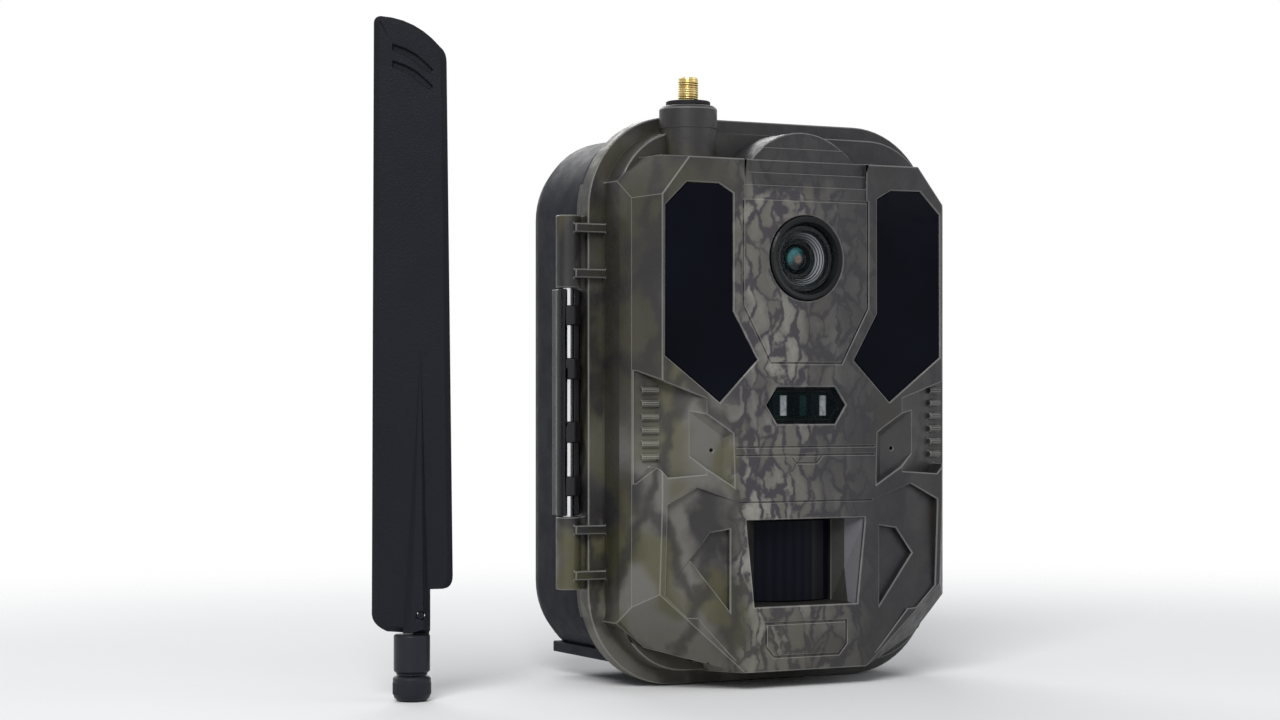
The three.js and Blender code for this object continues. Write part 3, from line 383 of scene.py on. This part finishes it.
def woodland(finish, bent):
    """The blurred patches, with painted shade on the ground level."""
    y = finish.axes()[1]
    # Painted shade: the set-back level under the mask takes the darker tone of each pair.
    ground = finish.within(y, *GROUND)
    light = finish.blend(ground, rgb(98, 96, 91), rgb(46, 45, 40))
    dark = finish.blend(ground, rgb(40, 38, 39), rgb(25, 24, 26))
    patch = finish.ramp(finish.noise(27, 3, 0.5, finish.stretched((1, 1, 0.6), bent)), 0.47, 0.57)
    soft = finish.blend(patch, light, dark)
    moss = finish.ramp(finish.noise(33, 2, 0.5, finish.stretched((1, 1, 0.8))), 0.48, 0.57, 0.0, 0.8)
    soft = finish.blend(moss, soft, finish.blend(ground, rgb(76, 73, 47), rgb(50, 48, 29)))
    pale = finish.ramp(finish.noise(17, 2, 0.5), 0.56, 0.72, 0.0, 0.7)
    soft = finish.blend(pale, soft, finish.blend(ground, rgb(108, 107, 105), rgb(60, 59, 57)))
    shade = finish.ramp(finish.noise(13, 3, 0.5, bent), 0.47, 0.6, 0.0, 0.6)
    soft = finish.blend(shade, soft, rgb(32, 30, 31))
    twigs = finish.cells(finish.stretched((1, 1, 0.45), bent), 38.0, "DISTANCE_TO_EDGE").outputs["Distance"]
    return finish.blend(finish.ramp(twigs, 0.01, 0.09, 0.75, 0.0), soft, rgb(30, 28, 30))


# %% [markdown]
# The film on the whole cover joins these. It also gets painted shade that deepens to the right and
# over the lens, and the funnel round the motion window is plain, with painted shade on one side and
# painted light on the other. A second copy of the film, with a pale painted highlight, goes on the
# rounded edges.

# %% The whole film
window_low, window_high = (Vector(corner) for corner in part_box("motion_lens"))
FLARE = 0.0085
FLARE_START = window_high.x + 0.0034
MASK_FACE = -0.0303


def in_funnel(finish):
    """1 on the walls of the funnel round the motion window."""
    x, y, z = finish.axes()
    across = finish.within(x, window_low.x - FLARE, window_high.x + FLARE)
    up = finish.within(z, window_low.z - 0.002, window_high.z + 0.002)
    return finish.math("MULTIPLY", finish.math("MULTIPLY", across, up), finish.math("GREATER_THAN", y, MASK_FACE))


def bark_film(name, painted_highlight):
    finish = Finish(name, rgb(84, 84, 78), 0.5, Specular_IOR_Level=0.4)
    bent = finish.pushed(finish.stretched((1, 1, 1)), 90, 0.011)
    bark, crack = bark_plates(finish, bent)
    x, y, z = finish.axes(bent)
    off_centre = finish.math("ABSOLUTE", x, 0.0)
    wander = finish.ramp(finish.noise(48, 3), 0.2, 0.8, -0.006, 0.006)
    trunk = finish.ramp(finish.math("ADD", off_centre, wander), 0.019, 0.031, 1.0, 0.0)
    in_front = finish.ramp(y, -0.026, -0.018, 1.0, 0.0)
    film = finish.blend(finish.math("MULTIPLY", trunk, in_front), woodland(finish, bent), bark)
    # Painted shade: the trunk's print is darkened at the top, over the lens.
    painted_shade_on_top = finish.math("MULTIPLY", finish.ramp(z, 0.150, 0.156), trunk)
    film = finish.blend(finish.math("MULTIPLY", painted_shade_on_top, 0.9), film, rgb(28, 28, 31))
    film = finish.blend(finish.ramp(z, 0.034, 0.012, 0.0, 0.35), film, rgb(62, 60, 42))
    # Painted shade: the film darkens towards the right.
    film = finish.blend(finish.ramp(x, -0.02, 0.03, 0.0, 0.84), film, rgb(29, 28, 33))
    # Painted light and shade: the funnel's right side is pale, the rest of it dark.
    funnel = finish.blend(finish.within(finish.axes()[0], FLARE_START, 1.0), rgb(27, 26, 24), rgb(90, 90, 94))
    film = finish.blend(in_funnel(finish), film, funnel)
    # Painted highlight: the edge copy of the film is mixed towards pale grey by this amount.
    finish.feed("Base Color", finish.blend(painted_highlight, film, rgb(168, 168, 164)))
    finish.feed("Roughness", finish.ramp(finish.noise(240, 4), 0.3, 0.7, 0.4, 0.58))
    finish.bump(finish.math("SUBTRACT", finish.noise(1600, 3), finish.math("MULTIPLY", crack, 0.6)), 0.03 * MM)
    return finish.material


bark = bark_film("bark_film", 0.0)
# The second copy carries the painted highlight for the bevelled edges.
bark_with_painted_highlight = bark_film("bark_film_painted_highlight", 0.26)
print("bark film nodes:", len(bark.node_tree.nodes))

# %% [markdown]
# ## Softening the edges
# No moulded edge is knife sharp, and the thin light line along each edge is what makes plastic look
# real. Each main solid is copied, its loose triangles are merged into whole faces, and a narrow
# bevel rounds every corner that turns by more than a set angle.

# %% A helper that softens a CAD solid


def whole_mesh(node):
    """The node's mesh with its triangles merged into flat faces."""
    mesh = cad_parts[node].data.copy()
    bm = bmesh.new()
    bm.from_mesh(mesh)
    bmesh.ops.remove_doubles(bm, verts=bm.verts, dist=0.004 * MM)
    bmesh.ops.dissolve_degenerate(bm, edges=bm.edges, dist=0.002 * MM)
    bmesh.ops.dissolve_limit(bm, angle_limit=math.radians(0.4), verts=bm.verts, edges=bm.edges)
    bmesh.ops.connect_verts_concave(bm, faces=bm.faces)
    bm.to_mesh(mesh)
    bm.free()
    mesh.materials.clear()
    return mesh


def add_piece(name, mesh, material, body, slot, *nodes):
    """A finished piece that rides on a body and may stand for CAD nodes."""
    piece = bpy.data.objects.new(name, mesh)
    bpy.context.scene.collection.objects.link(piece)
    if not mesh.materials:
        mesh.materials.append(material)
    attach(piece, body)
    if nodes:
        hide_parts(*nodes)
    return piece


HINGE_SIDE = -0.0635
BARREL_TURN = math.radians(25)
FULL_TURN = math.radians(75)


def weigh_edges(mesh, angle, width):
    """Marks every crease as sharp and gives outward ones a bevel weight, less where room is short.

    The hinge barrels are many-sided in the model and round in truth, so their sides aren't creases.
    """
    bm = bmesh.new()
    bm.from_mesh(mesh)
    weight = bm.edges.layers.float.new("bevel_weight_edge")
    for edge in bm.edges:
        turn = edge.calc_face_angle_signed(0.0)
        middle = (edge.verts[0].co + edge.verts[1].co) / 2
        limit = max(angle, BARREL_TURN) if middle.x < HINGE_SIDE else angle
        edge.smooth = abs(turn) < limit
        if turn >= limit:
            others = [other for corner in edge.verts for other in corner.link_edges if other != edge]
            room = 0.4 * min(other.calc_length() for other in others) / width
            edge[weight] = min(1.0, room, turn / FULL_TURN)
    bm.to_mesh(mesh)
    bm.free()


def soften(name, node, material, body, slot, width=0.3, angle=25, painted_highlight=None):
    piece = add_piece(name, whole_mesh(node), material, body, slot, node)
    piece.data.shade_smooth()
    weigh_edges(piece.data, math.radians(angle), width * MM)
    bevel = piece.modifiers.new("edge", "BEVEL")
    bevel.width = width * MM
    bevel.segments = 2
    bevel.limit_method = "WEIGHT"
    bevel.loop_slide = False
    bevel.use_clamp_overlap = False
    flatten = piece.modifiers.new("flat_faces_stay_flat", "WEIGHTED_NORMAL")
    flatten.keep_sharp = True
    # The cover's bevel faces take the second material, the film with a painted highlight.
    if painted_highlight:
        piece.data.materials.append(painted_highlight)
        bevel.material = 1
    print(name, len(piece.data.polygons), "faces")
    return piece


# %% [markdown]
# ## Cover, case and antenna
# These are the large shells. The hinge's middle leaf is black plastic, though it belongs to the
# charcoal case, so those faces get a material of their own.

# %% Large shells
cover = soften("front_cover_shell", "front_cover", bark, "cover", "camo_plastic", 0.4, 13, bark_with_painted_highlight)
case = soften("rear_case_shell", "rear_case", case_plastic, "case", "charcoal_plastic", 0.4)
case.data.materials.append(hinge_plastic)
LEAF_EDGE = -0.0605
for face in case.data.polygons:
    face.material_index = 1 if face.center.x < LEAF_EDGE and face.center.y < 0.0048 else 0

for side in ("front", "back"):
    soften(f"antenna_{side}_paddle", f"antenna_{side}_shell", antenna_plastic, "blade", "black_plastic", 0.25)
soften("antenna_swivel_sleeve", "antenna_sleeve", fitting_plastic, "sleeve", "black_plastic", 0.25)
soften("antenna_base_nut", "antenna_nut", fitting_plastic, "nut", "black_plastic", 0.2)
soften("latch_arm", "latch_lever", case_plastic, "latch", "black_plastic", 0.35)
soften("control_panel", "inner_panel", tray_plastic, "cover", "black_plastic", 0.25)
soften("cell_tray", "battery_tray", tray_plastic, "case", "black_plastic", 0.3)

# %% [markdown]
# ## Growing repeated shapes
# Threads, knurls and rings repeat by a rule, so Geometry Nodes make them. A small builder starts a
# tree with named inputs, and another evaluates it once into a plain mesh and removes the modifier.

# %% Helpers for Geometry Nodes


class Rule:
    """A Geometry Nodes tree under construction, with its sizes as named inputs."""

    def __init__(self, name, sizes):
        self.tree = bpy.data.node_groups.new(name, "GeometryNodeTree")
        self.sizes = sizes
        for label, value in sizes.items():
            kind = "NodeSocketInt" if isinstance(value, int) else "NodeSocketFloat"
            self.tree.interface.new_socket(label, in_out="INPUT", socket_type=kind)
        self.tree.interface.new_socket("Geometry", in_out="OUTPUT", socket_type="NodeSocketGeometry")
        self.inputs = self.tree.nodes.new("NodeGroupInput").outputs

    def add(self, kind, links=None, **values):
        node = self.tree.nodes.new(kind)
        for label, value in values.items():
            if hasattr(node, label):
                setattr(node, label, value)
            else:
                node.inputs[label.replace("_", " ")].default_value = value
        for label, source in (links or {}).items():
            self.tree.links.new(source, node.inputs[label])
        return node

    def end(self, shape, material):
        real = self.add("GeometryNodeRealizeInstances", {"Geometry": shape})
        dressed = self.add("GeometryNodeSetMaterial", {"Geometry": real.outputs[0]})
        dressed.inputs["Material"].default_value = material
        out = self.tree.nodes.new("NodeGroupOutput")
        self.tree.links.new(dressed.outputs[0], out.inputs[0])


def grow(name, rule, place, material, body, slot, *nodes, turn=None):
    """Evaluates a rule once and keeps the result as a plain mesh at its place."""
    seed = bpy.data.objects.new(name + "_seed", bpy.data.meshes.new(name + "_seed"))
    bpy.context.scene.collection.objects.link(seed)
    modifier = seed.modifiers.new("rule", "NODES")
    modifier.node_group = rule.tree
    for item in rule.tree.interface.items_tree:
        if item.in_out == "INPUT" and item.name in rule.sizes:
            modifier[item.identifier] = rule.sizes[item.name]
    bpy.context.view_layer.update()
    graph = bpy.context.evaluated_depsgraph_get()
    mesh = bpy.data.meshes.new_from_object(seed.evaluated_get(graph))
    seed.modifiers.remove(modifier)
    bpy.data.objects.remove(seed)
    mesh.transform(Matrix.Translation(place) @ (turn or Matrix.Identity(4)))
    mesh.materials.clear()
    print(name, len(mesh.polygons), "faces")
    return add_piece(name, mesh, material, body, slot, *nodes)


def lathe(profile, sides=64):
    """A closed or axis-to-axis profile of (radius, height) turned about Z, as a mesh."""
    bm = bmesh.new()
    rings = []
    for radius, height in profile:
        if radius < 1e-9:
            rings.append([bm.verts.new((0, 0, height))])
        else:
            step = 2 * math.pi / sides
            rings.append([bm.verts.new((radius * math.cos(i * step), radius * math.sin(i * step), height))
                          for i in range(sides)])
    for low, high in zip(rings, rings[1:]):
        for i in range(sides):
            corners = [low[i % len(low)], low[(i + 1) % len(low)], high[(i + 1) % len(high)], high[i % len(high)]]
            unique = list(dict.fromkeys(corners))
            if len(unique) > 2:
                bm.faces.new(unique)
    bmesh.ops.remove_doubles(bm, verts=bm.verts, dist=1e-7)
    bmesh.ops.recalc_face_normals(bm, faces=bm.faces)
    mesh = bpy.data.meshes.new("turned")
    bm.to_mesh(mesh)
    bm.free()
    mesh.shade_smooth()
    mesh.set_sharp_from_angle(angle=math.radians(32))
    return mesh


# %% [markdown]
# ## The antenna socket
# The gold socket has a fine outside thread. A thread is a small wedge swept along a helix, so a
# spiral curve with a four-sided profile makes it, and a turned core with the socket's hole carries it.

# %% Gold thread and core
socket_low, socket_high = (Vector(corner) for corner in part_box("antenna_socket"))
washer_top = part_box("socket_washer")[1][2]
socket_x = (socket_low.x + socket_high.x) / 2
socket_y = (socket_low.y + socket_high.y) / 2
THREAD = 3.175 * MM
PITCH = 0.706 * MM
thread_span = socket_high.z - washer_top - 1.6 * MM


def thread_rule():
    rule = Rule("thread", {"Turns": thread_span / PITCH, "Radius": THREAD - 0.3 * MM, "Span": thread_span, "Wedge": 0.32 * MM})
    helix = rule.add("GeometryNodeCurveSpiral", {
        "Rotations": rule.inputs["Turns"], "Start Radius": rule.inputs["Radius"],
        "End Radius": rule.inputs["Radius"], "Height": rule.inputs["Span"],
    }, Resolution=40)
    wedge = rule.add("GeometryNodeCurvePrimitiveCircle", {"Radius": rule.inputs["Wedge"]}, Resolution=4)
    sweep = rule.add("GeometryNodeCurveToMesh", {"Curve": helix.outputs[0], "Profile Curve": wedge.outputs[0]})
    sweep.inputs["Fill Caps"].default_value = True
    rule.end(sweep.outputs[0], gold)
    return rule


grow("socket_thread", thread_rule(), (socket_x, socket_y, washer_top + 0.7 * MM), gold, "cover", "gold")
top = socket_high.z
core_profile = [
    (0, washer_top - 3 * MM), (2.75 * MM, washer_top - 3 * MM), (2.75 * MM, top - 0.8 * MM),
    (3.0 * MM, top - 0.7 * MM), (2.9 * MM, top - 0.15 * MM), (2.7 * MM, top), (2.2 * MM, top),
    (2.1 * MM, top - 0.2 * MM), (2.1 * MM, top - 5 * MM), (0.65 * MM, top - 5 * MM),
    (0.65 * MM, top - 2 * MM), (0.45 * MM, top - 1.7 * MM), (0, top - 1.7 * MM),
]
core = lathe(core_profile)
core.transform(Matrix.Translation((socket_x, socket_y, 0)))
add_piece("socket_core", core, gold, "cover", "gold", "antenna_socket")

# %% [markdown]
# ## The antenna's nut
# A person turns the nut with two fingers, so it is finely ribbed round its middle. One rib is put
# on each point of a circle.

# %% Knurl on the nut
nut_low, nut_high = (Vector(corner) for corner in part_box("antenna_nut"))
NUT_RADIUS = (nut_high.x - nut_low.x) / 2
nut_centre = Vector(((nut_low.x + nut_high.x) / 2, (nut_low.y + nut_high.y) / 2, (nut_low.z + nut_high.z) / 2))


def knurl_rule():
    rule = Rule("knurl", {"Count": 44, "Ring radius": NUT_RADIUS - 0.05 * MM, "Rib radius": 0.16 * MM, "Rib height": 3.4 * MM})
    circle = rule.add("GeometryNodeMeshCircle", {"Vertices": rule.inputs["Count"], "Radius": rule.inputs["Ring radius"]})
    rib = rule.add("GeometryNodeMeshCylinder", {"Radius": rule.inputs["Rib radius"], "Depth": rule.inputs["Rib height"]}, Vertices=6)
    copies = rule.add("GeometryNodeInstanceOnPoints", {"Points": circle.outputs[0], "Instance": rib.outputs["Mesh"]})
    rule.end(copies.outputs[0], fitting_plastic)
    return rule


grow("nut_knurl", knurl_rule(), nut_centre, fitting_plastic, "nut", "black_plastic")

# %% [markdown]
# ## The lens
# Behind the clear cover glass a stepped black funnel leads to a small domed element. Fine rings on
# the funnel keep stray light out. They are a stack of thin tori that shrink towards the element.

# %% Lens funnel rings
FACE_TO_AXIS = Matrix.Rotation(math.radians(90), 4, "X")
element_low, element_high = (Vector(corner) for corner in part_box("lens_element"))


def ring_rule(count, wide, narrow, depth, wire):
    rule = Rule("rings", {"Count": count, "Wide": wide, "Narrow": narrow, "Depth": depth, "Wire": wire})
    line = rule.add("GeometryNodeMeshLine", {"Count": rule.inputs["Count"]}, mode="OFFSET")
    step = rule.add("ShaderNodeMath", {0: rule.inputs["Depth"], 1: rule.inputs["Count"]}, operation="DIVIDE")
    offset = rule.add("ShaderNodeCombineXYZ", {"Z": step.outputs[0]})
    rule.tree.links.new(offset.outputs[0], line.inputs["Offset"])
    index = rule.add("GeometryNodeInputIndex")
    share = rule.add("ShaderNodeMath", {0: index.outputs[0], 1: rule.inputs["Count"]}, operation="DIVIDE")
    size = rule.add("ShaderNodeMapRange", {
        "Value": share.outputs[0], "To Min": rule.inputs["Wide"], "To Max": rule.inputs["Narrow"],
    })
    circle = rule.add("GeometryNodeCurvePrimitiveCircle", Resolution=64, Radius=1.0)
    spread = rule.add("GeometryNodeInstanceOnPoints", {
        "Points": line.outputs[0], "Instance": circle.outputs[0], "Scale": size.outputs[0],
    })
    real = rule.add("GeometryNodeRealizeInstances", {"Geometry": spread.outputs[0]})
    wire_shape = rule.add("GeometryNodeCurvePrimitiveCircle", {"Radius": rule.inputs["Wire"]}, Resolution=8)
    sweep = rule.add("GeometryNodeCurveToMesh", {"Curve": real.outputs[0], "Profile Curve": wire_shape.outputs[0]})
    rule.end(sweep.outputs[0], socket_plastic)
    return rule


funnel_place = Vector((lens_centre.x, element_low.y - 0.4 * MM, lens_centre.z))
grow("lens_funnel_rings", ring_rule(5, 5.6 * MM, 8.7 * MM, 3.0 * MM, 0.14 * MM), funnel_place,
     socket_plastic, "cover", "black_plastic", turn=FACE_TO_AXIS)

# %% [markdown]
# ## Pieces that keep their CAD shape
# Small pieces already have their true shape. They keep it and only get a finish, by filling their
# material slot.

# %% Finishes for the sensors


def middle_of(node):
    low, high = (Vector(corner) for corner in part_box(node))
    return (low + high) / 2


def motion_window_film():
    """Cloudy dark plastic with faint upright lens strips, and a paler strip towards the right."""
    finish = Finish("motion_window_film", rgb(12, 14, 24), 0.24, Specular_IOR_Level=0.05)
    x, _, _ = finish.axes()
    middle = (window_low.x + window_high.x) / 2
    strip = finish.within(x, middle + 0.0062, middle + 0.0112)
    waves = finish.math("SINE", finish.math("MULTIPLY", x, 2 * math.pi / 0.0032), 0.0)
    base = finish.blend(finish.ramp(waves, -1.0, 1.0), rgb(10, 12, 21), rgb(15, 17, 26))
    finish.feed("Base Color", finish.blend(finish.math("MULTIPLY", strip, 0.8), base, rgb(34, 34, 37)))
    finish.bump(waves, 0.02 * MM)
    return finish.material


def lit_lens(name, color, painted_glow, *nodes):
    """Small milky lenses, each bright in its middle and dark at its sides; they emit painted light."""
    # Painted light: the lenses emit light though they are not lamps.
    finish = Finish(name, color, 0.3, Emission_Strength=painted_glow)
    x = finish.axes()[0]
    off = [finish.math("ABSOLUTE", finish.math("SUBTRACT", x, middle_of(node).x), 0.0) for node in nodes]
    nearest = finish.math("MINIMUM", off[0], off[-1])
    cloud = finish.ramp(finish.noise(700, 3), 0.3, 0.7)
    shade = finish.blend(cloud, color, tuple(0.5 * v for v in color[:3]) + (1,))
    shade = finish.blend(finish.ramp(nearest, 0.0008, 0.0014), shade, rgb(14, 22, 26))
    finish.feed("Base Color", shade)
    finish.feed("Emission Color", shade)
    return finish.material


motion_film = motion_window_film()
status_lens = lit_lens("status_lens", rgb(206, 216, 220), 2.6, "status_light_left", "status_light_right")
light_sensor_glass = lit_lens("light_sensor_glass", rgb(56, 120, 116), 0.5, "light_sensor")

# %% Finishes for the other pieces


def dress(material, *nodes):
    for node in nodes:
        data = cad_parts[node].data
        data.materials.clear()
        data.materials.append(material)


dress(window_gloss, "ir_window_left", "ir_window_right")
dress(smoky_glass, "sensor_window")
dress(screen_gloss, "display")
dress(light_sensor_glass, "light_sensor")
dress(status_lens, "status_light_left", "status_light_right")
dress(motion_film, "motion_lens")
dress(socket_plastic, "lens_ring", "microphone", "power_jack")
dress(barrel_plastic, "lens_barrel")
dress(cover_glass, "lens_glass")
dress(element_glass, "lens_element")
dress(rubber, "button_up", "button_down", "button_left", "button_right", "button_ok", "socket_washer", "case_seal", "jack_cap")
dress(antenna_plastic, "antenna_pin")
dress(steel, "hinge_pin", "latch_pin", "motion_sensor", *[f"panel_screw_{i}" for i in range(1, 5)])
dress(plate_steel, "card_slot", "contact_bottom", "contact_top")
dress(gold, "tripod_insert", "antenna_contact")
dress(board_green, "ir_board_left", "ir_board_right", "sensor_board", "main_board", "antenna_element")
dress(tray_plastic, "sd_card")
dress(cream, "power_switch")

# %% [markdown]
# ## Marks on the keys
# Four keys move the choice on the screen and carry a raised arrow. The middle one confirms it and
# carries a raised ring. They are thin prisms, worked out from each key's own box.

# %% Arrows and ring


def key_mark(key, sides, radius, turn):
    """A raised outline with the given number of sides on a key's face."""
    low, high = (Vector(corner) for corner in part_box(f"button_{key}"))
    bm = bmesh.new()
    bmesh.ops.create_cone(bm, cap_ends=True, segments=sides, radius1=radius, radius2=0.8 * radius, depth=0.4 * MM)
    bmesh.ops.recalc_face_normals(bm, faces=bm.faces)
    mesh = bpy.data.meshes.new(f"{key}_mark")
    bm.to_mesh(mesh)
    bm.free()
    lie = Matrix.Rotation(math.radians(-90), 4, "X") @ Matrix.Rotation(turn, 4, "Z")
    place = Vector(((low.x + high.x) / 2, high.y + 0.12 * MM, (low.z + high.z) / 2))
    mesh.transform(Matrix.Translation(place) @ lie)
    return add_piece(f"{key}_key_mark", mesh, cream, f"key_{key}", "black_plastic")


ARROWS = {"up": -90, "down": 90, "left": 0, "right": 180}
for key, degrees in ARROWS.items():
    key_mark(key, 3, 1.5 * MM, math.radians(degrees))
key_mark("ok", 24, 1.3 * MM, 0)
print("key marks:", len(ARROWS) + 1)

# %% [markdown]
# ## The cells
# A plain AA cell has a dark jacket with one bright band at its positive end and bare metal ends.
# The band and the ends follow height, so the finish mixes by how far up the cell a point lies.

# %% Cell jackets


def cell_jacket(name, low, high, button_up):
    finish = Finish(name, rgb(26, 62, 48), 0.3)
    height = finish.add("ShaderNodeSeparateXYZ", {"Vector": finish.place}).outputs["Z"]
    start, end = (high, low) if button_up else (low, high)
    share = finish.ramp(height, start, end) if start < end else finish.ramp(height, end, start, 1.0, 0.0)
    band = finish.math("LESS_THAN", share, 0.16)
    metal = finish.math("GREATER_THAN", finish.math("ABSOLUTE", finish.math("SUBTRACT", share, 0.5), 0.0), 0.4995)
    jacket = finish.blend(band, rgb(26, 62, 48), rgb(196, 150, 84))
    finish.feed("Base Color", finish.blend(metal, jacket, rgb(190, 190, 192)))
    finish.feed("Metallic", finish.math("MULTIPLY", metal, 0.9))
    finish.feed("Roughness", finish.ramp(finish.noise(200, 3), 0.3, 0.7, 0.24, 0.36))
    return finish.material


for number in range(1, 9):
    node = f"aa_cell_{number}"
    low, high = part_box(node)
    upright = ((number - 1) // 2) % 2 == 0
    dress(cell_jacket(f"cell_jacket_{number}", low[2], high[2], upright), node)

# %% [markdown]
# ## Floor
# The camera stands on a pale sheet that takes its shadow. The sheet is part of the studio, not of
# the object.

# %% Floor
bpy.ops.mesh.primitive_circle_add(vertices=96, radius=1.2, fill_type="NGON", location=(0, 0, -0.0003))
floor = bpy.context.object
floor.name = "floor"


def floor_sheet():
    """A pale sheet that fades away from the object, so that it has no edge against the background."""
    sheet = Finish("floor_sheet", (0.9, 0.9, 0.9, 1), 0.9, Specular_IOR_Level=0.0)
    cloud = sheet.ramp(sheet.noise(3, 2), 0.3, 0.7)
    sheet.feed("Base Color", sheet.blend(cloud, (0.9, 0.9, 0.9, 1), (0.93, 0.93, 0.93, 1)))
    far = sheet.add("ShaderNodeVectorMath", {0: sheet.place}, operation="LENGTH").outputs["Value"]
    sheet.feed("Alpha", sheet.ramp(far, 0.22, 0.6, 1.0, 0.0))
    return sheet.material


floor.data.materials.append(floor_sheet())
